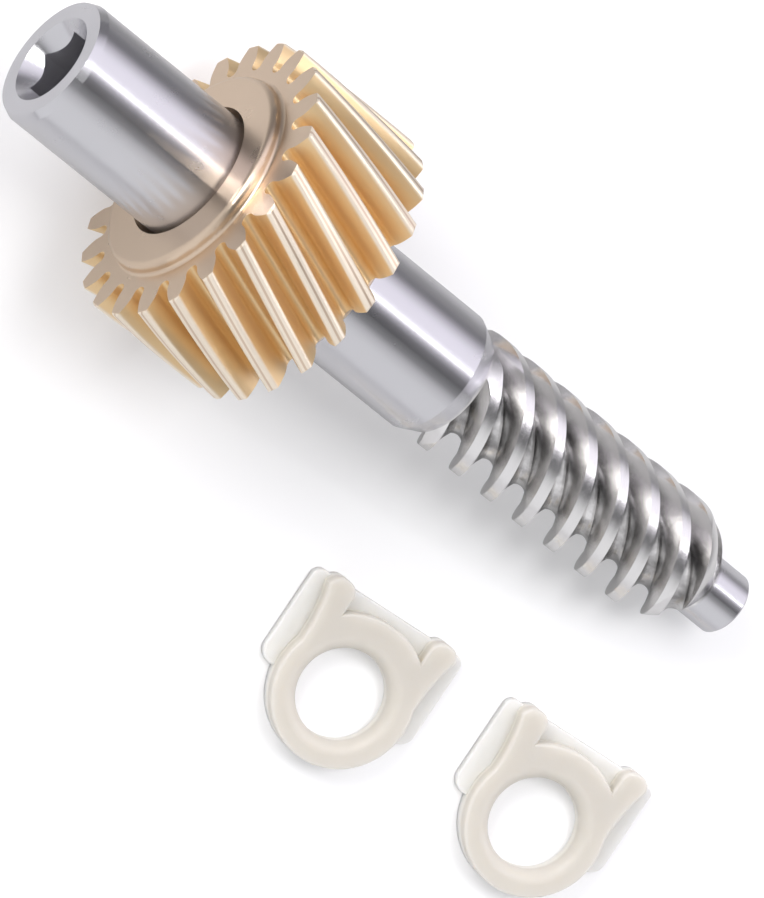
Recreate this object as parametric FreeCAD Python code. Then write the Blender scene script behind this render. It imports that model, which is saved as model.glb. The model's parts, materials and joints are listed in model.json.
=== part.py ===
import FreeCAD, Part
import math
import os

# Worm gear set: a steel worm shaft with a bronze helical gear pressed on it, and two
# loose nylon ring retainers, laid out on a table.
#
# Frame: +Z up, the table at Z = 0. X runs along the shaft, from the socket end to the
# end journal. The origin is the centre of the bottom of the whole set's box.
# Lengths are in millimetres and angles in degrees.
#
# The shaft is built on its own axis, +Z from the face of the socket end, with its own
# +X turned to the top of the shaft when it lies down. It is tilted last.

# Shaft, and its lengths in order from the socket end
shaft_diameter = 19.05
big_journal_length = 74.7
shoulder_length = 3.0
worm_length = 43.1
worm_end_length = 7.1
journal_length = 6.5
end_chamfer_length = 1.2
end_chamfer_depth = 0.49

# Hexagon drive socket in the big end
socket_across_flats = 9.525
socket_depth = 19.05
socket_mouth_flare = 1.1007
socket_mouth_depth = 1.5
socket_drill_angle = 30.0

# Shoulder between the big journal and the worm
shoulder_end_depth = 1.12
groove_entry_length = 1.9

# Worm
worm_tip_diameter = 18.64
worm_thread_depth = 4.32
worm_starts = 4
worm_axial_pitch = 6.4
worm_tip_width = 1.8
worm_flank_angle = 14.5
worm_root_round = 0.5
worm_entry_length = 1.2
worm_end_bulge = 0.6
worm_first_crest = 9.35

# Journal on the far end
journal_diameter = 9.525
journal_chamfer = 0.4

# Helical gear
gear_teeth = 22
gear_normal_module = 1.75
gear_pressure_angle = 20.0
gear_helix_angle = 19.6
gear_addendum = 1.566
gear_dedendum = 2.984
gear_tip_round = 0.25
gear_root_round = 0.92
gear_face_width = 20.9
gear_front_face = 28.1
gear_tooth_place = 9.5
gear_edge_chamfer = 0.25
hub_step = 1.95
hub_height = 1.85
hub_edge_round = 0.9
hub_root_round = 0.5
bore_relief_width = 0.7
bore_relief_depth = 2.0
press_interference = 0.0

# Ring retainer
retainer_bore_radius = 6.6
retainer_wall = 3.8
retainer_height = 4.3
retainer_mouth_round = 1.9
retainer_back_round = 0.9
plate_side_margin = 2.55
plate_top_margin = 2.8
plate_bottom = -1.8
plate_thickness = 1.6
plate_top_corner = 1.4
plate_bottom_corner = 2.2
plate_edge_round = 0.3
crown_step = 1.4
ear_side_step = 0.6
ear_top_step = 3.45
ear_width = 4.3
ear_top_round = 1.9
body_edge_round = 0.45
waist_radius = 25.0
waist_inset = 0.6
waist_height = 4.5
waist_join_round = 3.0

# Places on the table: along from the gear's rear face, and out from the gear's side
retainer_places = ((49.6, 21.0), (83.9, 18.6))
retainer_turn = 5.1

# How far a cutting shape runs clear of what it cuts, and a hidden end into its neighbour
tool_clearance = 1.0
hidden_overlap = 0.1
place_tolerance = 0.01
curve_steps = 5

shaft_radius = shaft_diameter / 2
journal_radius = journal_diameter / 2
shoulder_start = big_journal_length
worm_start = shoulder_start + shoulder_length
worm_full_end = worm_start + worm_length
journal_start = worm_full_end + worm_end_length
shaft_length = journal_start + journal_length

worm_tip_radius = worm_tip_diameter / 2
worm_root_radius = worm_tip_radius - worm_thread_depth
worm_lead = worm_axial_pitch * worm_starts
worm_crest_place = worm_start + worm_first_crest
shoulder_end_radius = worm_tip_radius - shoulder_end_depth

gear_pitch_radius = gear_teeth * gear_normal_module / math.cos(math.radians(gear_helix_angle)) / 2
gear_tip_radius = gear_pitch_radius + gear_addendum
gear_root_radius = gear_pitch_radius - gear_dedendum
gear_rear_face = gear_front_face + gear_face_width
hub_radius = gear_root_radius - hub_step

retainer_ring_radius = retainer_bore_radius + retainer_wall
crown_radius = retainer_ring_radius + crown_step
ear_outer = retainer_ring_radius + ear_side_step
ear_top = retainer_ring_radius + ear_top_step
waist_half_width = retainer_ring_radius - waist_inset
plate_width = 2 * (retainer_ring_radius + plate_side_margin)
plate_top = retainer_ring_radius + plate_top_margin

AXIS = FreeCAD.Vector(0, 0, 1)
ORIGIN = FreeCAD.Vector(0, 0, 0)


def polar(radius, angle, height=0.0):
    """A point at a radius and an angle in radians about the shaft axis."""
    return FreeCAD.Vector(radius * math.cos(angle), radius * math.sin(angle), height)


def turned(profile):
    """A solid of revolution about Z from a half profile of (height, radius) pairs."""
    points = [FreeCAD.Vector(radius, 0, height) for height, radius in profile]
    points.insert(0, FreeCAD.Vector(0, 0, points[0].z))
    points.append(FreeCAD.Vector(0, 0, points[-1].z))
    points.append(points[0])
    face = Part.Face(Part.makePolygon(points))
    return face.revolve(ORIGIN, AXIS, 360)


def twisted(section, start, length, lead):
    """Sweeps a closed wire in the XY plane along Z while it turns once per lead."""
    spine = Part.Wire(Part.makeLine(FreeCAD.Vector(0, 0, 0), FreeCAD.Vector(0, 0, length)))
    guide = Part.makeHelix(lead, length, shaft_radius)
    sweep = Part.BRepOffsetAPI.MakePipeShell(spine)
    sweep.setAuxiliarySpine(guide, True, False)
    sweep.add(section, False, False)
    sweep.build()
    sweep.makeSolid()
    solid = sweep.shape()
    solid.translate(FreeCAD.Vector(0, 0, start))
    return solid


def spline_edge(points):
    """A smooth edge through a list of points."""
    curve = Part.BSplineCurve()
    curve.interpolate(points)
    return curve.toShape()


def arc_edge(first, middle, last):
    """A circular edge through three points."""
    return Part.Arc(first, middle, last).toShape()


def worm_half_angle(radius):
    """Half the angle that one thread takes up at a radius, in a section across the axis."""
    slope = math.tan(math.radians(worm_flank_angle))
    half_width = worm_tip_width / 2 + (worm_tip_radius - radius) * slope
    return 2 * math.pi * half_width / worm_lead


def worm_section(turn):
    """The star-shaped section across the worm, one lobe for each start."""
    pitch_angle = 2 * math.pi / worm_starts
    foot_radius = worm_root_radius + worm_root_round
    step = (worm_tip_radius - foot_radius) / curve_steps
    radii = [foot_radius + step * i for i in range(curve_steps + 1)]
    edges = []
    for start in range(worm_starts):
        centre = turn + start * pitch_angle
        rising = [polar(radius, centre - worm_half_angle(radius)) for radius in radii]
        falling = [polar(radius, centre + worm_half_angle(radius)) for radius in reversed(radii)]
        next_foot = polar(foot_radius, centre + pitch_angle - worm_half_angle(foot_radius))
        edges.append(spline_edge(rising))
        edges.append(arc_edge(rising[-1], polar(worm_tip_radius, centre), falling[0]))
        edges.append(spline_edge(falling))
        edges.append(arc_edge(falling[-1], polar(worm_root_radius, centre + pitch_angle / 2), next_foot))
    return Part.Wire(edges)


def worm_envelope():
    """The turned blank that trims the ends of the threads, just clear of their crests."""
    outer = worm_tip_radius + hidden_overlap
    entry_slope = worm_entry_length / (worm_tip_radius - shoulder_end_radius)
    middle = FreeCAD.Vector(
        (outer + journal_radius) / 2 + worm_end_bulge,
        0,
        worm_full_end + worm_end_length / 2 + worm_end_bulge,
    )
    outline = [
        FreeCAD.Vector(0, 0, worm_start),
        FreeCAD.Vector(shoulder_end_radius, 0, worm_start),
        FreeCAD.Vector(outer, 0, worm_start + (outer - shoulder_end_radius) * entry_slope),
        FreeCAD.Vector(outer, 0, worm_full_end),
    ]
    far = FreeCAD.Vector(journal_radius, 0, journal_start)
    foot = FreeCAD.Vector(0, 0, journal_start)
    edges = [Part.makeLine(outline[i], outline[i + 1]) for i in range(len(outline) - 1)]
    edges.append(arc_edge(outline[-1], middle, far))
    edges.append(Part.makeLine(far, foot))
    edges.append(Part.makeLine(foot, outline[0]))
    return Part.Face(Part.Wire(edges)).revolve(ORIGIN, AXIS, 360)


def worm_threads():
    """Right-hand threads, one crest on top of the shaft at worm_crest_place."""
    start = shoulder_start + shoulder_length / 2
    length = journal_start + shoulder_length - start
    turn = 2 * math.pi * (start - worm_crest_place) / worm_lead
    threads = twisted(worm_section(turn), start, length, worm_lead)
    return threads.common(worm_envelope())


def hexagon(across_flats, height):
    """A hexagonal wire across the axis, with a corner on its +X side."""
    corner_radius = across_flats / 2 / math.cos(math.pi / 6)
    corners = [polar(corner_radius, i * math.pi / 3, height) for i in range(7)]
    return Part.makePolygon(corners)


def drive_socket():
    """The hexagonal hole, its flared mouth and its shallow drilled bottom."""
    outline = hexagon(socket_across_flats, -tool_clearance)
    hole = Part.Face(outline).extrude(AXIS * (socket_depth + tool_clearance))
    flat_radius = socket_across_flats / 2
    corner_radius = flat_radius / math.cos(math.pi / 6)
    flare = socket_mouth_flare / socket_mouth_depth
    mouth = turned([
        (-tool_clearance, corner_radius + socket_mouth_flare + flare * tool_clearance),
        (socket_mouth_depth + (corner_radius - flat_radius) / flare, flat_radius),
    ])
    drill_radius = flat_radius - hidden_overlap
    drill_slope = math.tan(math.radians(socket_drill_angle))
    bottom = turned([
        (socket_depth - hidden_overlap, drill_radius),
        (socket_depth, drill_radius),
        (socket_depth + (drill_radius - hidden_overlap) * drill_slope, hidden_overlap),
    ])
    return hole.fuse([mouth, bottom])


def worm_shaft():
    """One machined steel piece: big journal, shoulder, worm and end journal."""
    big_end = turned([
        (0, shaft_radius - end_chamfer_depth),
        (end_chamfer_length, shaft_radius),
        (shoulder_start, shaft_radius),
        (worm_start, shoulder_end_radius),
        (worm_start + groove_entry_length, worm_root_radius - hidden_overlap),
    ])
    small_end = turned([
        (worm_start, journal_radius),
        (shaft_length - journal_chamfer, journal_radius),
        (shaft_length, journal_radius - journal_chamfer),
    ])
    solid = big_end.fuse([worm_threads(), small_end])
    return solid.cut(drive_socket()).removeSplitter()


def involute_half_angle(radius, base_radius, pressure):
    """Half the angle of a gear tooth at a radius, on an involute flank."""
    at_pitch = math.tan(pressure) - pressure
    if radius <= base_radius:
        at_radius = 0.0
    else:
        angle = math.acos(base_radius / radius)
        at_radius = math.tan(angle) - angle
    return math.pi / 2 / gear_teeth + at_pitch - at_radius


def gear_flank(base_radius, pressure):
    """The radii up one flank, as far as its rounded corner, and half the tooth's angle at each."""
    step = (gear_tip_radius - gear_tip_round - base_radius) / curve_steps
    radii = [base_radius + step * i for i in range(curve_steps + 1)]
    halves = [involute_half_angle(radius, base_radius, pressure) for radius in radii]
    return radii, halves


def gear_section(turn):
    """The toothed outline across the gear: involute flanks, rounded tips and round-bottomed spaces."""
    helix = math.radians(gear_helix_angle)
    pressure = math.atan(math.tan(math.radians(gear_pressure_angle)) / math.cos(helix))
    base_radius = gear_pitch_radius * math.cos(pressure)
    radii, halves = gear_flank(base_radius, pressure)
    tip_half = involute_half_angle(gear_tip_radius, base_radius, pressure)
    land_half = tip_half - gear_tip_round / gear_tip_radius
    cut = gear_tip_round * (1 - math.sqrt(0.5))
    corner_half = tip_half - cut / gear_tip_radius
    pitch_angle = 2 * math.pi / gear_teeth
    foot_radius = gear_root_radius + gear_root_round
    edges = []
    for tooth in range(gear_teeth):
        centre = turn + tooth * pitch_angle
        rising = [polar(radius, centre - half) for radius, half in zip(radii, halves)]
        falling = [polar(radius, centre + half) for radius, half in zip(radii, halves)]
        falling.reverse()
        land_start = polar(gear_tip_radius, centre - land_half)
        land_end = polar(gear_tip_radius, centre + land_half)
        rising_foot = polar(foot_radius, centre - halves[0])
        falling_foot = polar(foot_radius, centre + halves[0])
        next_foot = polar(foot_radius, centre + pitch_angle - halves[0])
        edges.append(Part.makeLine(rising_foot, rising[0]))
        edges.append(spline_edge(rising))
        edges.append(arc_edge(rising[-1], polar(gear_tip_radius - cut, centre - corner_half), land_start))
        edges.append(arc_edge(land_start, polar(gear_tip_radius, centre), land_end))
        edges.append(arc_edge(land_end, polar(gear_tip_radius - cut, centre + corner_half), falling[0]))
        edges.append(spline_edge(falling))
        edges.append(Part.makeLine(falling[-1], falling_foot))
        edges.append(arc_edge(falling_foot, polar(gear_root_radius, centre + pitch_angle / 2), next_foot))
    return Part.Wire(edges)


def gear_blank():
    """The turned blank that limits the teeth, with a small chamfer round both faces."""
    face_radius = gear_tip_radius - gear_edge_chamfer
    chamfer = gear_edge_chamfer + hidden_overlap
    return turned([
        (gear_front_face, face_radius),
        (gear_front_face + chamfer, face_radius + chamfer),
        (gear_rear_face - chamfer, face_radius + chamfer),
        (gear_rear_face, face_radius),
    ])


def gear_hubs():
    """One hub through the gear, proud of both faces, its two rims rounded."""
    bottom = gear_front_face - hub_height
    hub = Part.makeCylinder(hub_radius, gear_face_width + 2 * hub_height, FreeCAD.Vector(0, 0, bottom))
    return hub.makeFillet(hub_edge_round, round_edges(hub, hub_radius, bottom, gear_rear_face + hub_height))


def gear_bore():
    """The bore through the gear, with a deep narrow relief at each mouth."""
    bore_radius = shaft_radius - press_interference
    front = gear_front_face - hub_height
    rear = gear_rear_face + hub_height
    slope = bore_relief_width / bore_relief_depth
    mouth_radius = bore_radius + bore_relief_width + slope * tool_clearance
    return turned([
        (front - tool_clearance, mouth_radius),
        (front + bore_relief_depth, bore_radius),
        (rear - bore_relief_depth, bore_radius),
        (rear + tool_clearance, mouth_radius),
    ])


def round_edges(solid, radius, *heights):
    """The whole circles of a solid about its own Z axis, of one radius, at the given heights."""
    found = []
    for edge in solid.Edges:
        circle = edge.Curve
        if not isinstance(circle, Part.Circle):
            continue
        same_size = abs(circle.Radius - radius) < place_tolerance
        if same_size and any(abs(circle.Center.z - height) < place_tolerance for height in heights):
            found.append(edge)
    return found


def helical_gear():
    """Bronze right-hand helical gear, bored to press on the shaft."""
    lead = math.pi * gear_teeth * gear_normal_module / math.sin(math.radians(gear_helix_angle))
    turn = math.radians(gear_tooth_place)
    toothed = twisted(gear_section(turn), gear_front_face, gear_face_width, lead)
    solid = toothed.common(gear_blank()).fuse(gear_hubs())
    hub_feet = round_edges(solid, hub_radius, gear_front_face, gear_rear_face)
    solid = solid.makeFillet(hub_root_round, hub_feet)
    return solid.cut(gear_bore()).removeSplitter()


def upright_edges(solid, y):
    """The edges of a solid that stand upright at a Y place."""
    upright = [edge for edge in solid.Edges if edge.BoundBox.ZLength > place_tolerance]
    return [edge for edge in upright if abs(edge.BoundBox.Center.y - y) < place_tolerance]


def top_edges(solid, height):
    """The edges of a solid that lie in its top face."""
    return [edge for edge in solid.Edges if edge.BoundBox.ZMin > height - place_tolerance]


def retainer_waist(side):
    """The shallow round hollow down the outer side of one ear."""
    x = side * (waist_half_width + waist_radius)
    return Part.makeCylinder(waist_radius, retainer_height, FreeCAD.Vector(x, waist_height, 0))


def retainer_ear(side):
    """One round-topped ear beside the ring, on the left (-1) or the right (1)."""
    left = side * (ear_outer - ear_width / 2) - ear_width / 2
    ear = Part.makeBox(ear_width, ear_top, retainer_height, FreeCAD.Vector(left, 0, 0))
    ear = ear.makeFillet(ear_top_round, upright_edges(ear, ear_top))
    return ear.cut(retainer_waist(side))


def join_edges(body):
    """The two upright edges where the ring meets the waists of the ears."""
    found = []
    for edge in body.Edges:
        centre = edge.BoundBox.Center
        on_ring = abs(math.hypot(centre.x, centre.y) - retainer_ring_radius) < place_tolerance
        if on_ring and edge.BoundBox.ZLength > place_tolerance and centre.y > place_tolerance:
            found.append(edge)
    return found


def retainer_body():
    """The raised ring, the arc that tops it and the two ears, with a soft front edge."""
    ring = Part.makeCylinder(retainer_ring_radius, retainer_height)
    crown = Part.makeCylinder(crown_radius, retainer_height)
    ear_middle = ear_outer - ear_width / 2
    corner = FreeCAD.Vector(-ear_middle, 0, 0)
    crown = crown.common(Part.makeBox(2 * ear_middle, crown_radius, retainer_height, corner))
    body = ring.fuse([crown, retainer_ear(-1), retainer_ear(1)]).removeSplitter()
    body = body.makeFillet(waist_join_round, join_edges(body))
    return body.makeFillet(body_edge_round, top_edges(body, retainer_height))


def retainer_plate():
    """The thin plate behind the ring, with rounded corners and a soft front edge."""
    corner = FreeCAD.Vector(-plate_width / 2, plate_bottom, 0)
    plate = Part.makeBox(plate_width, plate_top - plate_bottom, plate_thickness, corner)
    plate = plate.makeFillet(plate_bottom_corner, upright_edges(plate, plate_bottom))
    plate = plate.makeFillet(plate_top_corner, upright_edges(plate, plate_top))
    return plate.makeFillet(plate_edge_round, top_edges(plate, plate_thickness))


def retainer():
    """A nylon ring on a thin plate, with two ears and a rounded bore mouth."""
    solid = retainer_body().fuse(retainer_plate())
    bore_start = FreeCAD.Vector(0, 0, -tool_clearance)
    bore = Part.makeCylinder(retainer_bore_radius, retainer_height + 2 * tool_clearance, bore_start)
    solid = solid.cut(bore).removeSplitter()
    front = round_edges(solid, retainer_bore_radius, retainer_height)
    solid = solid.makeFillet(retainer_mouth_round, front)
    back = round_edges(solid, retainer_bore_radius, 0)
    return solid.makeFillet(retainer_back_round, back)


def worm_rest_place():
    """The distance along the shaft of the last full-height crest's edge, on which it rests."""
    crests = math.floor((worm_full_end - worm_crest_place) / worm_axial_pitch)
    return worm_crest_place + crests * worm_axial_pitch + worm_tip_width / 2


def gear_rest_place():
    """The distance along the shaft of the gear's rear rim, on which it rests."""
    return gear_rear_face - gear_edge_chamfer


def rest_tilt():
    """The shaft's tilt when it lies on the gear's rear rim and the worm's last full crest."""
    drop = gear_tip_radius - worm_tip_radius
    return math.degrees(math.atan(drop / (worm_rest_place() - gear_rest_place())))


def shaft_placement():
    """Where the shaft's own axis lies: tilted, its far end down, at rest on the table."""
    tilt = math.radians(rest_tilt())
    along = FreeCAD.Vector(math.cos(tilt), 0, -math.sin(tilt))
    top = FreeCAD.Vector(math.sin(tilt), 0, math.cos(tilt))
    gear_centre = FreeCAD.Vector(0, 0, gear_tip_radius * math.cos(tilt))
    start = gear_centre - along * gear_rest_place()
    return FreeCAD.Placement(start, FreeCAD.Rotation(top, along.cross(top), along, "ZXY"))


def retainer_placement(place):
    """A retainer flat on the table, its ears towards the shaft."""
    along, out = place
    spot = FreeCAD.Vector(along, -gear_tip_radius - out, 0)
    return FreeCAD.Placement(spot, FreeCAD.Rotation(AXIS, retainer_turn))


def placed(solid, placement):
    """A copy of a piece, moved from its own frame to its place."""
    return solid.transformed(placement.toMatrix(), copy=True)


def build():
    """All the pieces by name, in the frame of the whole set."""
    lying = shaft_placement()
    pieces = {
        "worm_shaft": placed(worm_shaft(), lying),
        "helical_gear": placed(helical_gear(), lying),
    }
    shaft_box = Part.makeCompound(list(pieces.values())).optimalBoundingBox(False, False)
    to_table = FreeCAD.Vector(0, 0, -shaft_box.ZMin)
    for solid in pieces.values():
        solid.translate(to_table)
    loose = retainer()
    for letter, place in zip("ab", retainer_places):
        pieces["retainer_" + letter] = placed(loose, retainer_placement(place))
    box = Part.makeCompound(list(pieces.values())).optimalBoundingBox(False, False)
    to_origin = FreeCAD.Vector(-box.Center.x, -box.Center.y, 0)
    for solid in pieces.values():
        solid.translate(to_origin)
    print("shaft axis starts at", lying.multVec(ORIGIN) + to_table + to_origin)
    print("shaft axis runs along", lying.Rotation.multVec(AXIS))
    return pieces


if __name__ == "__main__":
    os.makedirs("parts", exist_ok=True)
    for name, solid in build().items():
        print(name, len(solid.Solids), solid.isValid(), round(solid.Volume, 1))
        solid.exportStep(os.path.join("parts", name + ".step"))
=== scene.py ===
import json
import math

import bpy
import numpy as np
from mathutils import Matrix, Vector


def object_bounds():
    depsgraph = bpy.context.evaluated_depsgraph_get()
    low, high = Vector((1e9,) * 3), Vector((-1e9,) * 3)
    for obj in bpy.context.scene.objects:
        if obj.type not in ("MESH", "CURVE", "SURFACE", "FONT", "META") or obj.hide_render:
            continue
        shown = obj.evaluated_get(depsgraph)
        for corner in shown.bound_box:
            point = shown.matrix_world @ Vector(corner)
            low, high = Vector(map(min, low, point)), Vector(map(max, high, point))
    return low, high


bl_info = {
    "name": "Worm gear set",
    "version": (1, 0, 0),
    "blender": (4, 5, 0),
    "location": "View3D > Sidebar > Gear set",
    "description": "Finishes a worm shaft, its bronze gear and two nylon retainers, and sets the stage",
    "category": "Object",
}

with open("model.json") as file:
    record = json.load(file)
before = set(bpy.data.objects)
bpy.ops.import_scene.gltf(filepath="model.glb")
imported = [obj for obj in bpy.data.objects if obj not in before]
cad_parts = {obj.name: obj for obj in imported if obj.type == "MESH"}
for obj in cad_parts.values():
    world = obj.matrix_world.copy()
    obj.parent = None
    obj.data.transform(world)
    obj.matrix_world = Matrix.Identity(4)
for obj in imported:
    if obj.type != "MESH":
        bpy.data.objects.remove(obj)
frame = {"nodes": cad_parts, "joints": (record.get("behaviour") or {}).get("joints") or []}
CAD_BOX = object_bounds()

# The shaft turns about this line. Its patterns run along and round it.
SPIN = frame["joints"][0]
SHAFT_POINT = Vector(SPIN["pos_m"])
SHAFT_AXIS = Vector(SPIN["axis"]).normalized()
SHAFT_TILT = math.asin(-SHAFT_AXIS.z)
RETAINERS = ("retainer_a", "retainer_b")

# The machining marks run along the shaft's axis plus a share of the spoke out from it, or, on
# the worm, plus a share of the turn round it.
SPOKE_SHARE = 0.37
HOOP_SHARE = 2.3

# Lights: their sizes in metres, and their directions from the hinge point, at one metre.
STRIP_LENGTH, STRIP_WIDTH = 3.14, 0.05
STRIP_TURN = math.radians(31)
STRIP_SHIFT = 0.57
KEY_SIZE, KEY_WAY = 0.35, Vector((0.08, 0.32, 0.94))
FRONT_SIZE, FRONT_WAY = 0.4, Vector((-0.713, 0.215, 0.667))

# The table: half its side, and how bright it is in the metal, beside the set and to its right.
TABLE_REACH = 3
MIRRORED_LIFT = 0.3
MIRRORED_NEAR, MIRRORED_RIGHT = 0.72, 0.3
MIRRORED_FADE = (0.03, 0.065)


# ------------------------------------------------------------------ settings


class ShaftSettings(bpy.types.PropertyGroup):
    ground_colour: bpy.props.FloatVectorProperty(
        name="Ground steel", description="Colour of the ground journals",
        subtype="COLOR", size=3, min=0, max=1, default=(0.66, 0.655, 0.675),
    )
    thread_colour: bpy.props.FloatVectorProperty(
        name="Thread steel", description="Colour of the milled worm threads",
        subtype="COLOR", size=3, min=0, max=1, default=(0.82, 0.81, 0.80),
    )
    # Painted shade: the dark colour the worm's grooves are painted with, strongest at their floors.
    groove_shade_colour: bpy.props.FloatVectorProperty(
        name="Groove film", description="Colour of the dark painted film in the worm's grooves",
        subtype="COLOR", size=3, min=0, max=1, default=(0.25, 0.245, 0.24),
    )
    ground_roughness: bpy.props.FloatProperty(
        name="Ground roughness", description="Roughness of the journals",
        subtype="FACTOR", min=0, max=1, default=0.26,
    )
    ground_streak: bpy.props.FloatProperty(
        name="Grinding streak",
        description="How far the grinding marks draw out a reflection along the shaft",
        subtype="FACTOR", min=0, max=1, default=0.85,
    )
    thread_roughness: bpy.props.FloatProperty(
        name="Thread roughness", description="Roughness of the worm threads",
        subtype="FACTOR", min=0, max=1, default=0.2,
    )
    worm_start: bpy.props.FloatProperty(
        name="Worm start", description="Where the threads start, past the gear's rear face",
        unit="LENGTH", default=0.0287,
    )
    worm_end: bpy.props.FloatProperty(
        name="Worm end", description="Where the threads end, past the gear's rear face",
        unit="LENGTH", default=0.0789,
    )


class GearSettings(bpy.types.PropertyGroup):
    face_colour: bpy.props.FloatVectorProperty(
        name="Turned bronze", description="Colour of the turned faces and hub",
        subtype="COLOR", size=3, min=0, max=1, default=(0.75, 0.60, 0.455),
    )
    tooth_colour: bpy.props.FloatVectorProperty(
        name="Cut bronze", description="Colour of the tooth flanks",
        subtype="COLOR", size=3, min=0, max=1, default=(0.88, 0.665, 0.385),
    )
    # Pale tips: partly worn bronze, partly a painted highlight. The darker middle line of each tip land
    # is a painted reflection, in the turned-face colour.
    tip_colour: bpy.props.FloatVectorProperty(
        name="Tip bronze", description="Colour of the rubbed tooth tips",
        subtype="COLOR", size=3, min=0, max=1, default=(0.95, 0.85, 0.71),
    )
    roughness: bpy.props.FloatProperty(
        name="Roughness", description="Roughness of the bronze",
        subtype="FACTOR", min=0, max=1, default=0.3,
    )
    streak: bpy.props.FloatProperty(
        name="Turning streak", description="How far the turning marks draw out a highlight",
        subtype="FACTOR", min=0, max=1, default=0.7,
    )
    tip_start: bpy.props.FloatProperty(
        name="Tip start", description="Distance from the axis at which the rubbed tips begin",
        unit="LENGTH", default=0.0214,
    )
    teeth: bpy.props.IntProperty(
        name="Teeth", description="Number of teeth",
        min=1, default=22,
    )
    twist: bpy.props.FloatProperty(
        name="Twist", description="Turn of the teeth for each metre along the shaft, in radians",
        default=17.208,
    )
    tooth_start: bpy.props.FloatProperty(
        name="Tooth start",
        description="Share of a tooth by which the teeth are turned about the shaft",
        default=0.3507,
    )


class RetainerSettings(bpy.types.PropertyGroup):
    body_colour: bpy.props.FloatVectorProperty(
        name="Nylon", description="Colour of the thick nylon",
        subtype="COLOR", size=3, min=0, max=1, default=(0.635, 0.605, 0.545),
    )
    # The thin plate's paler colour is painted light: the table's glow through the thin nylon, and a
    # lift against the shade the body casts on it.
    lit_plate_colour: bpy.props.FloatVectorProperty(
        name="Thin nylon", description="Colour of the thin plate, which lets the table through",
        subtype="COLOR", size=3, min=0, max=1, default=(0.87, 0.845, 0.775),
    )
    plate_top: bpy.props.FloatProperty(
        name="Plate top", description="Height of the thin plate",
        unit="LENGTH", default=0.0016,
    )
    roughness: bpy.props.FloatProperty(
        name="Roughness", description="Roughness of the moulded nylon",
        subtype="FACTOR", min=0, max=1, default=0.42,
    )
    soak: bpy.props.FloatProperty(
        name="Light soak", description="How much light goes into the nylon and comes out near by",
        subtype="FACTOR", min=0, max=1, default=1.0,
    )


class StageSettings(bpy.types.PropertyGroup):
    aim: bpy.props.FloatVectorProperty(
        name="Aim", description="What the camera looks at, from the shaft's hinge point",
        subtype="TRANSLATION", size=3, default=(0.02898, -0.01293, -0.01164),
    )
    camera_distance: bpy.props.FloatProperty(
        name="Camera distance", description="From the camera to the aim",
        unit="LENGTH", default=1.20747,
    )
    camera_azimuth: bpy.props.FloatProperty(
        name="Camera azimuth", description="Round the set, from its front",
        subtype="ANGLE", default=math.radians(-90),
    )
    camera_elevation: bpy.props.FloatProperty(
        name="Camera elevation", description="Above the table",
        subtype="ANGLE", default=math.radians(70.749),
    )
    camera_roll: bpy.props.FloatProperty(
        name="Camera roll", description="Turn of the camera about its view",
        subtype="ANGLE", default=math.radians(128.655),
    )
    camera_lens: bpy.props.FloatProperty(
        name="Lens", description="Focal length",
        unit="CAMERA", default=353.4,
    )
    floor_colour: bpy.props.FloatVectorProperty(
        name="Floor", description="Colour of the pale table",
        subtype="COLOR", size=3, min=0, max=1, default=(0.80, 0.80, 0.80),
    )
    floor_lift: bpy.props.FloatProperty(
        name="Floor lift", description="White added to the table as it is seen",
        subtype="FACTOR", min=0, max=1, default=0.18,
    )
    table_edge: bpy.props.FloatProperty(
        name="Table edge", description="From the middle of the set to the table's right edge",
        unit="LENGTH", default=0.10,
    )
    floor_drop: bpy.props.FloatProperty(
        name="Floor drop", description="Gap between the set and the table",
        unit="LENGTH", default=0.0001,
    )
    right_glow: bpy.props.FloatVectorProperty(
        name="Right softbox", description="Light of the long softbox on the shaft's right",
        subtype="COLOR", size=3, min=0, max=4, default=(1.19, 1.15, 1.27),
    )
    left_glow: bpy.props.FloatVectorProperty(
        name="Left softbox", description="Light of the long softbox on the shaft's left",
        subtype="COLOR", size=3, min=0, max=4, default=(0.91, 0.91, 0.94),
    )
    gap_glow: bpy.props.FloatVectorProperty(
        name="Gap", description="Light of the dark gap between the softboxes",
        subtype="COLOR", size=3, min=0, max=4, default=(0.115, 0.115, 0.12),
    )
    strip_power: bpy.props.FloatProperty(
        name="Strip light", description="Power of the narrow strip light, in watts",
        default=2.2,
    )
    key_power: bpy.props.FloatProperty(
        name="Key light", description="Power of the soft light overhead, in watts",
        default=3.2,
    )
    front_power: bpy.props.FloatProperty(
        name="Front light",
        description="Power of the soft light in front of the socket end, in watts",
        default=4.0,
    )


# ------------------------------------------------------------------ nodes


def put(tree, kind, plugs=None, **options):
    """Adds a node, sets its options, and sets or connects its inputs."""
    node = tree.nodes.new(kind)
    for name, value in options.items():
        setattr(node, name, value)
    for name, value in (plugs or {}).items():
        if isinstance(value, bpy.types.NodeSocket):
            tree.links.new(value, node.inputs[name])
        else:
            node.inputs[name].default_value = value
    return node


def work(tree, operation, first, second=0.0):
    """The result of one sum on two numbers."""
    node = put(tree, "ShaderNodeMath", {0: first, 1: second}, operation=operation)
    return node.outputs[0]


def rise(tree, value, start, end):
    """0 below start and 1 above end, with a soft step between them."""
    plugs = {"Value": value, "From Min": start, "From Max": end}
    node = put(tree, "ShaderNodeMapRange", plugs, interpolation_type="SMOOTHSTEP")
    return node.outputs["Result"]


def span(tree, value, low, high):
    """Stretches 0 to 1 over low to high."""
    plugs = {"Value": value, "To Min": low, "To Max": high}
    return put(tree, "ShaderNodeMapRange", plugs).outputs["Result"]


def vector_work(tree, operation, first, second, output="Vector"):
    """The result of one sum on two vectors."""
    node = put(tree, "ShaderNodeVectorMath", {0: first, 1: second}, operation=operation)
    return node.outputs[output]


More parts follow.
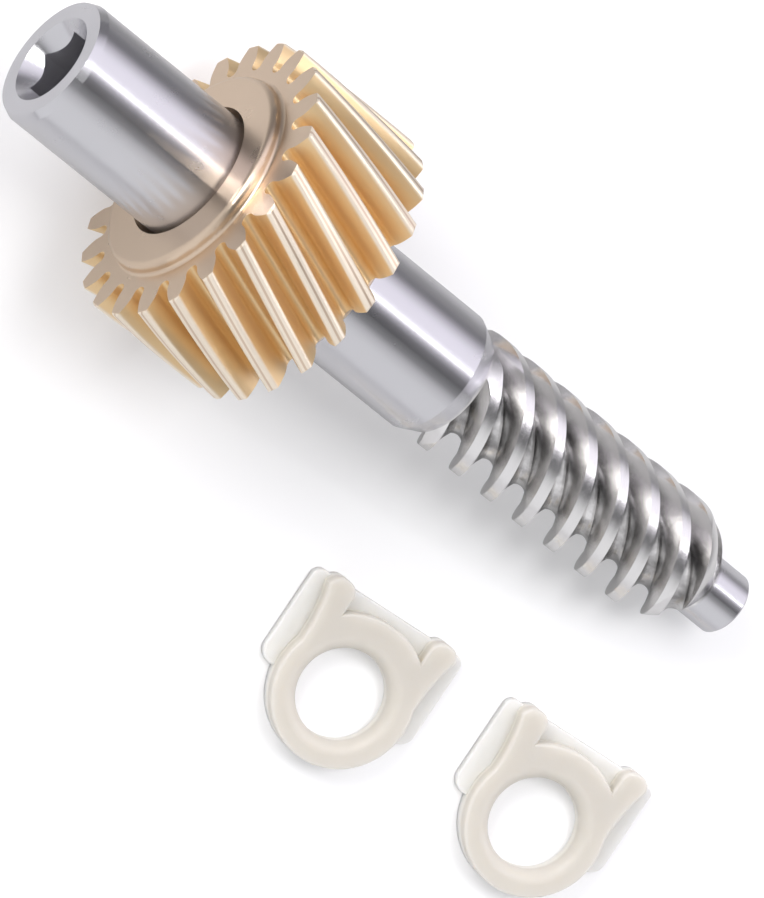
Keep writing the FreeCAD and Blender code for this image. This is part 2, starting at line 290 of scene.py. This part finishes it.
def scaled(tree, vector, scale):
    """A vector made longer or shorter."""
    plugs = {0: vector, "Scale": scale}
    return put(tree, "ShaderNodeVectorMath", plugs, operation="SCALE").outputs[0]


def object_place(tree):
    """Where a point is on its own piece."""
    return put(tree, "ShaderNodeTexCoord").outputs["Object"]


def part_of(tree, vector, letter):
    """One of a vector's three numbers."""
    return put(tree, "ShaderNodeSeparateXYZ", {0: vector}).outputs[letter]


def blend(tree, share, first, second):
    """A colour that goes from the first to the second as the share goes from 0 to 1."""
    node = put(tree, "ShaderNodeMix", data_type="RGBA")
    for place, value in ((0, share), (6, first), (7, second)):
        if isinstance(value, bpy.types.NodeSocket):
            tree.links.new(value, node.inputs[place])
        elif place == 0:
            node.inputs[place].default_value = value
        else:
            node.inputs[place].default_value = (*value, 1)
    return node.outputs[2]


def shade(colour, share):
    """A plain colour, brought down to a share of its light."""
    return [share * part for part in colour]


def noise(tree, vector, scale, detail=3.0, roughness=0.5):
    """Soft noise between about 0.3 and 0.7."""
    plugs = {"Vector": vector, "Scale": scale, "Detail": detail, "Roughness": roughness}
    return put(tree, "ShaderNodeTexNoise", plugs).outputs["Fac"]


def bump(tree, height, distance, strength=1.0, normal=None):
    """Raises the surface by a height, in metres of depth."""
    plugs = {"Height": height, "Distance": distance, "Strength": strength}
    if normal is not None:
        plugs["Normal"] = normal
    return put(tree, "ShaderNodeBump", plugs).outputs["Normal"]


def shaft_frame(tree):
    """Coordinates with X along the shaft from its hinge point, and the distance from its axis."""
    plugs = {
        "Vector": object_place(tree),
        "Location": SHAFT_POINT,
        "Rotation": (0, SHAFT_TILT, 0),
    }
    turned = put(tree, "ShaderNodeMapping", plugs, vector_type="TEXTURE").outputs[0]
    parts = put(tree, "ShaderNodeSeparateXYZ", {0: turned}).outputs
    across = put(tree, "ShaderNodeCombineXYZ", {"Y": parts["Y"], "Z": parts["Z"]}).outputs[0]
    radius = put(tree, "ShaderNodeVectorMath", {0: across}, operation="LENGTH").outputs["Value"]
    return turned, parts["X"], radius


def machined_tangent(tree, on_worm=0.0):
    """Along the shaft on its round sides, along a spoke on its turned end faces, and along
    the threads on the worm.

    The vector is the axis plus a share of the vector out from the axis, or of the vector
    round the axis on the worm. A surface keeps only the part that lies in it.
    """
    offset = vector_work(tree, "SUBTRACT", object_place(tree), SHAFT_POINT)
    onto = vector_work(tree, "PROJECT", offset, SHAFT_AXIS)
    out = vector_work(tree, "SUBTRACT", offset, onto)
    spoke = vector_work(tree, "NORMALIZE", out, (0, 0, 0))
    hoop = vector_work(tree, "CROSS_PRODUCT", SHAFT_AXIS, spoke)
    plugs = {0: on_worm, 4: scaled(tree, spoke, SPOKE_SHARE), 5: scaled(tree, hoop, HOOP_SHARE)}
    share = put(tree, "ShaderNodeMix", plugs, data_type="VECTOR").outputs[1]
    both = vector_work(tree, "ADD", share, SHAFT_AXIS)
    return put(
        tree, "ShaderNodeVectorTransform", {0: both},
        vector_type="VECTOR", convert_from="OBJECT", convert_to="WORLD",
    ).outputs[0]


def off_land(tree, turned, along, settings):
    """Distance from the middle of a tooth's land, as a share of the tooth spacing.

    The share of a spacing gone by is teeth * (angle + twist * along) / 2 pi + start, and a
    land's middle is half way through it.
    """
    parts = put(tree, "ShaderNodeSeparateXYZ", {0: turned}).outputs
    angle = work(tree, "ARCTAN2", parts["Y"], parts["Z"])
    angle = work(tree, "ADD", angle, work(tree, "MULTIPLY", along, settings.twist))
    spacings = work(tree, "MULTIPLY", angle, settings.teeth / (2 * math.pi))
    gone = work(tree, "FRACT", work(tree, "ADD", spacings, settings.tooth_start))
    return work(tree, "ABSOLUTE", work(tree, "SUBTRACT", gone, 0.5))


def varied(tree, middle, pattern, spread):
    """A number that a 0 to 1 pattern moves up and down, by half the spread each way."""
    return work(tree, "ADD", middle - spread / 2, work(tree, "MULTIPLY", pattern, spread))


def stretch(tree, vector, scales):
    """A pattern's coordinates, stretched by a scale along each axis."""
    return put(tree, "ShaderNodeMapping", {"Vector": vector, "Scale": scales}).outputs[0]


def new_material(name, **inputs):
    """A material with one shader, and the plain inputs that are the same all over."""
    material = bpy.data.materials.new(name)
    material.use_nodes = True
    shader = material.node_tree.nodes["Principled BSDF"]
    for label, value in inputs.items():
        shader.inputs[label.replace("_", " ")].default_value = value
    return material, material.node_tree, shader


def plug(tree, shader, **sockets):
    """Connects the shader's inputs to node outputs."""
    for label, socket in sockets.items():
        tree.links.new(socket, shader.inputs[label.replace("_", " ")])


def dress(node, material):
    """Gives a CAD node one material all over."""
    slots = frame["nodes"][node].data.materials
    slots.clear()
    slots.append(material)


# ------------------------------------------------------------------ finishes


def steel_material(settings):
    """Ground steel on the journals, and milled steel on the worm, with painted shade darkening its
    grooves in patches.
    """
    material, tree, shader = new_material(
        "shaft_steel",
        Metallic=1.0,
        Anisotropic=settings.ground_streak,
    )
    turned, along, radius = shaft_frame(tree)
    starts = rise(tree, along, settings.worm_start - 0.0006, settings.worm_start)
    ends = rise(tree, along, settings.worm_end, settings.worm_end + 0.0006)
    on_worm = work(tree, "SUBTRACT", starts, ends)
    mottle = noise(tree, turned, 260, 4)
    fine = noise(tree, turned, 1500, 3)
    rings = noise(tree, stretch(tree, turned, (9000, 60, 60)), 1.0, 2)
    # Painted shade: darker the deeper into the worm's grooves, broken into patches by the mottle.
    depth = rise(tree, radius, 0.0086, 0.0056)
    shading = work(tree, "MULTIPLY", depth, span(tree, mottle, -1.1, 2.2))
    shading = work(tree, "MINIMUM", shading, 1.0)
    thread = blend(tree, shading, settings.thread_colour, settings.groove_shade_colour)
    colour = blend(tree, on_worm, settings.ground_colour, thread)
    ground = varied(tree, settings.ground_roughness, mottle, 0.08)
    milled = varied(tree, settings.thread_roughness, fine, 0.1)
    plugs = {0: on_worm, 2: ground, 3: milled}
    rough = put(tree, "ShaderNodeMix", plugs, data_type="FLOAT").outputs[0]
    marks = bump(tree, rings, 0.000002)
    waves = bump(tree, work(tree, "MULTIPLY", mottle, on_worm), 0.00004, 0.5, marks)
    plug(
        tree, shader, Base_Color=colour, Roughness=rough, Normal=waves,
        Tangent=machined_tangent(tree, on_worm),
    )
    return material


def bronze_material(settings):
    """Turned bronze faces, golden cut flanks, and pale tips, partly worn bronze and partly a painted
    highlight, with a darker middle line on each land that is a painted reflection of the dim gap.
    """
    material, tree, shader = new_material("gear_bronze", Anisotropic=settings.streak)
    turned, along, radius = shaft_frame(tree)
    normal = put(tree, "ShaderNodeTexCoord").outputs["Normal"]
    facing = vector_work(tree, "DOT_PRODUCT", normal, SHAFT_AXIS, "Value")
    on_face = rise(tree, work(tree, "ABSOLUTE", facing), 0.75, 0.92)
    on_hub = rise(tree, radius, 0.0172, 0.0165)
    on_face = work(tree, "MAXIMUM", on_face, on_hub)
    on_tip = rise(tree, radius, settings.tip_start, settings.tip_start + 0.0005)
    # Away from each land's middle the tips get the pale colour, partly wear and partly a painted
    # highlight; the middle line keeps the turned-face colour as a painted reflection of the dim gap.
    rubbed_and_highlit = rise(tree, off_land(tree, turned, along, settings), 0.016, 0.036)
    on_edge = work(tree, "MULTIPLY", on_tip, rubbed_and_highlit)
    mottle = noise(tree, turned, 220, 4)
    tip = blend(tree, rubbed_and_highlit, settings.face_colour, settings.tip_colour)
    flank = blend(tree, on_tip, settings.tooth_colour, tip)
    colour = blend(tree, on_face, flank, settings.face_colour)
    rough = varied(tree, settings.roughness, mottle, 0.16)
    cut = work(tree, "SUBTRACT", 1.0, on_face)
    rough = work(tree, "ADD", rough, work(tree, "MULTIPLY", cut, 0.18))
    rough = work(tree, "ADD", rough, work(tree, "MULTIPLY", on_edge, 0.1))
    worn = work(tree, "MULTIPLY", cut, 0.16)
    worn = work(tree, "ADD", worn, work(tree, "MULTIPLY", on_edge, 0.20))
    bare = work(tree, "SUBTRACT", 1.0, worn)
    outward = put(tree, "ShaderNodeCombineXYZ", {"X": radius}).outputs[0]
    lathe = noise(tree, stretch(tree, outward, (7000, 1, 1)), 1.0, 2)
    marks = bump(tree, work(tree, "MULTIPLY", lathe, on_face), 0.000004)
    plug(
        tree, shader, Base_Color=colour, Roughness=rough, Metallic=bare, Normal=marks,
        Tangent=machined_tangent(tree),
    )
    return material


def nylon_material(settings):
    """Warm moulded nylon that soaks up light, painted paler where it is thin: painted light for the
    table's glow through the plate and against the body's shade on it.
    """
    material, tree, shader = new_material(
        "retainer_nylon",
        Subsurface_Weight=settings.soak,
        Subsurface_Radius=(1.0, 0.95, 0.88),
        Subsurface_Scale=0.004,
    )
    place = object_place(tree)
    height = part_of(tree, place, "Z")
    thick = rise(tree, height, settings.plate_top, settings.plate_top + 0.0012)
    cloud = noise(tree, place, 90, 3)
    grain = noise(tree, place, 1400, 3)
    # Painted light: the thin plate is paler than the thick body.
    colour = blend(tree, thick, settings.lit_plate_colour, settings.body_colour)
    darker = shade(settings.body_colour, 0.96)
    colour = blend(tree, work(tree, "MULTIPLY", cloud, 0.3), colour, darker)
    rough = varied(tree, settings.roughness, grain, 0.12)
    soft = bump(tree, cloud, 0.0004, 0.3, bump(tree, grain, 0.00004, 0.4))
    plug(tree, shader, Base_Color=colour, Roughness=rough, Normal=soft)
    return material


# ------------------------------------------------------------------ stage


def sheet(name, centre, right, up):
    """A flat four-cornered sheet: the centre plus or minus the right and up vectors."""
    signs = np.array([[-1, -1], [1, -1], [1, 1], [-1, 1]], float)
    corners = np.array(centre) + signs @ np.array([right, up], float)
    mesh = bpy.data.meshes.new(name)
    mesh.from_pydata(corners.tolist(), [], [(0, 1, 2, 3)])
    piece = bpy.data.objects.new(name, mesh)
    bpy.context.scene.collection.objects.link(piece)
    return piece


def seen_rays(tree):
    """1 for rays from the eye or through clear things, and less for those off polished ones."""
    path = put(tree, "ShaderNodeLightPath").outputs
    direct = work(tree, "MAXIMUM", path["Is Camera Ray"], path["Is Transmission Ray"])
    mirrored = work(tree, "MULTIPLY", path["Is Glossy Ray"], MIRRORED_LIFT)
    return work(tree, "MAXIMUM", direct, mirrored)


def floor_material(settings):
    """A matt pale table, lifted towards white where it is seen.

    In polished metal it is dimmer, and dimmer still to the right of the set.
    """
    material, tree, shader = new_material("floor_paint", Specular_IOR_Level=0.0, Roughness=0.9)
    place = object_place(tree)
    pale = settings.floor_colour
    colour = blend(tree, noise(tree, place, 40, 2), shade(pale, 0.99), tuple(pale))
    on_right = rise(tree, part_of(tree, place, "Y"), *MIRRORED_FADE)
    dim = blend(tree, on_right, shade(pale, MIRRORED_NEAR), shade(pale, MIRRORED_RIGHT))
    mirrored = put(tree, "ShaderNodeLightPath").outputs["Is Glossy Ray"]
    colour = blend(tree, mirrored, colour, dim)
    lift = work(tree, "MULTIPLY", seen_rays(tree), settings.floor_lift)
    plug(tree, shader, Base_Color=colour, Emission_Strength=lift)
    shader.inputs["Emission Color"].default_value = (1, 1, 1, 1)
    return material


def studio_world(settings):
    """Two long softboxes beside the shaft, with a dim gap overhead, and white behind all.

    The glow depends on a direction's angle about the shaft: its turn from straight up
    towards the right of the set. Each stop holds that angle in degrees, a softbox's light,
    and the share of it that is mixed into the gap's light.
    """
    world = bpy.data.worlds.new("studio")
    world.use_nodes = True
    tree = world.node_tree
    way = put(tree, "ShaderNodeTexCoord").outputs["Generated"]
    plugs = {"Vector": way, "Rotation": (0, SHAFT_TILT, 0)}
    turned = put(tree, "ShaderNodeMapping", plugs, vector_type="TEXTURE").outputs[0]
    parts = put(tree, "ShaderNodeSeparateXYZ", {0: turned}).outputs
    angle = work(tree, "ARCTAN2", parts["Y"], parts["Z"])
    share = work(tree, "ADD", work(tree, "DIVIDE", angle, 2 * math.pi), 0.5)
    ramp = put(tree, "ShaderNodeValToRGB", {"Fac": share})
    bands = ramp.color_ramp
    gap = Vector(settings.gap_glow)
    left = Vector(settings.left_glow)
    right = Vector(settings.right_glow)
    stops = (
        (-100, left, 1), (-40, left, 0.95), (-26, left, 0.76), (-19, left, 0.55), (-12, left, 0.24),
        (-4, gap, 1), (11, gap, 1),
        (18, right, 0.2), (24, right, 0.45), (30, right, 1), (62, right, 1), (70, right, 0.8),
        (80, right, 0.5), (90, right, 0.12),
    )
    while len(bands.elements) < len(stops):
        bands.elements.new(0.5)
    for element, (degrees, glow, share) in zip(bands.elements, stops):
        element.position = 0.5 + degrees / 360
        element.color = (*gap.lerp(glow, share), 1)
    background = tree.nodes["Background"]
    seen = put(tree, "ShaderNodeLightPath").outputs["Is Camera Ray"]
    tree.links.new(blend(tree, seen, ramp.outputs[0], (1, 1, 1)), background.inputs["Color"])
    return world


def strip_light(settings):
    """A narrow light along the set, high on its right. It draws the thin line on the steel.

    Its middle is one metre out, turned from straight up, and moved towards the socket end.
    """
    light = bpy.data.lights.new("strip", "AREA")
    light.shape = "RECTANGLE"
    light.size = STRIP_LENGTH
    light.size_y = STRIP_WIDTH
    light.energy = settings.strip_power
    lamp = bpy.data.objects.new("strip", light)
    top = Vector((math.sin(SHAFT_TILT), 0, math.cos(SHAFT_TILT)))
    side = Vector((0, math.sin(STRIP_TURN), 0)) + top * math.cos(STRIP_TURN)
    matrix = Matrix((SHAFT_AXIS, side.cross(SHAFT_AXIS), side)).transposed().to_4x4()
    matrix.translation = SHAFT_POINT + side - SHAFT_AXIS * STRIP_SHIFT
    lamp.matrix_world = matrix
    bpy.context.scene.collection.objects.link(lamp)


def soft_light(name, size, power, way):
    """A square soft light, one metre from the hinge point in a direction, facing it."""
    light = bpy.data.lights.new(name, "AREA")
    light.shape = "SQUARE"
    light.size = size
    light.energy = power
    lamp = bpy.data.objects.new(name, light)
    matrix = way.to_track_quat("Z", "Y").to_matrix().to_4x4()
    matrix.translation = SHAFT_POINT + way.normalized()
    lamp.matrix_world = matrix
    bpy.context.scene.collection.objects.link(lamp)
    return lamp


def place_camera(settings):
    """Looks at the aim from the set's azimuth and elevation, then rolls about the view."""
    azimuth, elevation = settings.camera_azimuth, settings.camera_elevation
    back = Vector((
        math.sin(azimuth) * math.cos(elevation),
        -math.cos(azimuth) * math.cos(elevation),
        math.sin(elevation),
    ))
    right = Vector((math.cos(azimuth), math.sin(azimuth), 0))
    up = back.cross(right)
    roll = Matrix.Rotation(settings.camera_roll, 3, back)
    matrix = Matrix((roll @ right, roll @ up, back)).transposed().to_4x4()
    matrix.translation = SHAFT_POINT + Vector(settings.aim) + back * settings.camera_distance
    lens = bpy.data.cameras.new("camera")
    lens.lens = settings.camera_lens
    lens.sensor_width = 36
    lens.clip_end = 20
    camera = bpy.data.objects.new("camera", lens)
    camera.matrix_world = matrix
    bpy.context.scene.collection.objects.link(camera)
    bpy.context.scene.camera = camera


# ------------------------------------------------------------------ operators


class GEARSET_OT_finish_shaft(bpy.types.Operator):
    """Give the shaft its ground and milled steel"""
    bl_idname = "gearset.finish_shaft"
    bl_label = "Finish the shaft"

    def execute(self, context):
        dress("worm_shaft", steel_material(context.scene.gearset_shaft))
        return {"FINISHED"}


class GEARSET_OT_finish_gear(bpy.types.Operator):
    """Give the gear its turned and cut bronze"""
    bl_idname = "gearset.finish_gear"
    bl_label = "Finish the gear"

    def execute(self, context):
        dress("helical_gear", bronze_material(context.scene.gearset_gear))
        return {"FINISHED"}


class GEARSET_OT_finish_retainers(bpy.types.Operator):
    """Give both retainers their moulded nylon"""
    bl_idname = "gearset.finish_retainers"
    bl_label = "Finish the retainers"

    def execute(self, context):
        nylon = nylon_material(context.scene.gearset_retainers)
        for node in RETAINERS:
            dress(node, nylon)
        return {"FINISHED"}


class GEARSET_OT_set_stage(bpy.types.Operator):
    """Lay the floor, hang the lights and place the camera"""
    bl_idname = "gearset.set_stage"
    bl_label = "Set the stage"

    def execute(self, context):
        settings = context.scene.gearset_stage
        centre = (0, settings.table_edge - TABLE_REACH, CAD_BOX[0][2] - settings.floor_drop)
        floor = sheet("floor", centre, (TABLE_REACH, 0, 0), (0, TABLE_REACH, 0))
        floor.data.materials.append(floor_material(settings))
        context.scene.world = studio_world(settings)
        strip_light(settings)
        key = soft_light("key", KEY_SIZE, settings.key_power, KEY_WAY)
        key.visible_glossy = False
        soft_light("front", FRONT_SIZE, settings.front_power, FRONT_WAY)
        place_camera(settings)
        context.scene.view_settings.view_transform = "Standard"
        return {"FINISHED"}


class GEARSET_PT_panel(bpy.types.Panel):
    """The steps that finish and stage the gear set"""
    bl_idname = "GEARSET_PT_panel"
    bl_label = "Gear set"
    bl_space_type = "VIEW_3D"
    bl_region_type = "UI"
    bl_category = "Gear set"

    def draw(self, context):
        for operator in OPERATORS:
            self.layout.operator(operator.bl_idname)
        for name in SETTINGS:
            box = self.layout.box()
            settings = getattr(context.scene, name)
            for label in settings.__annotations__:
                box.prop(settings, label)


SETTINGS = {
    "gearset_shaft": ShaftSettings,
    "gearset_gear": GearSettings,
    "gearset_retainers": RetainerSettings,
    "gearset_stage": StageSettings,
}
OPERATORS = (
    GEARSET_OT_finish_shaft,
    GEARSET_OT_finish_gear,
    GEARSET_OT_finish_retainers,
    GEARSET_OT_set_stage,
)


def register():
    for name, group in SETTINGS.items():
        bpy.utils.register_class(group)
        setattr(bpy.types.Scene, name, bpy.props.PointerProperty(type=group))
    for operator in OPERATORS:
        bpy.utils.register_class(operator)
    bpy.utils.register_class(GEARSET_PT_panel)


def unregister():
    bpy.utils.unregister_class(GEARSET_PT_panel)
    for operator in reversed(OPERATORS):
        bpy.utils.unregister_class(operator)
    for name, group in reversed(SETTINGS.items()):
        delattr(bpy.types.Scene, name)
        bpy.utils.unregister_class(group)


def main():
    register()
    bpy.ops.gearset.finish_shaft()
    bpy.ops.gearset.finish_gear()
    bpy.ops.gearset.finish_retainers()
    bpy.ops.gearset.set_stage()


if __name__ == "__main__":
    main()
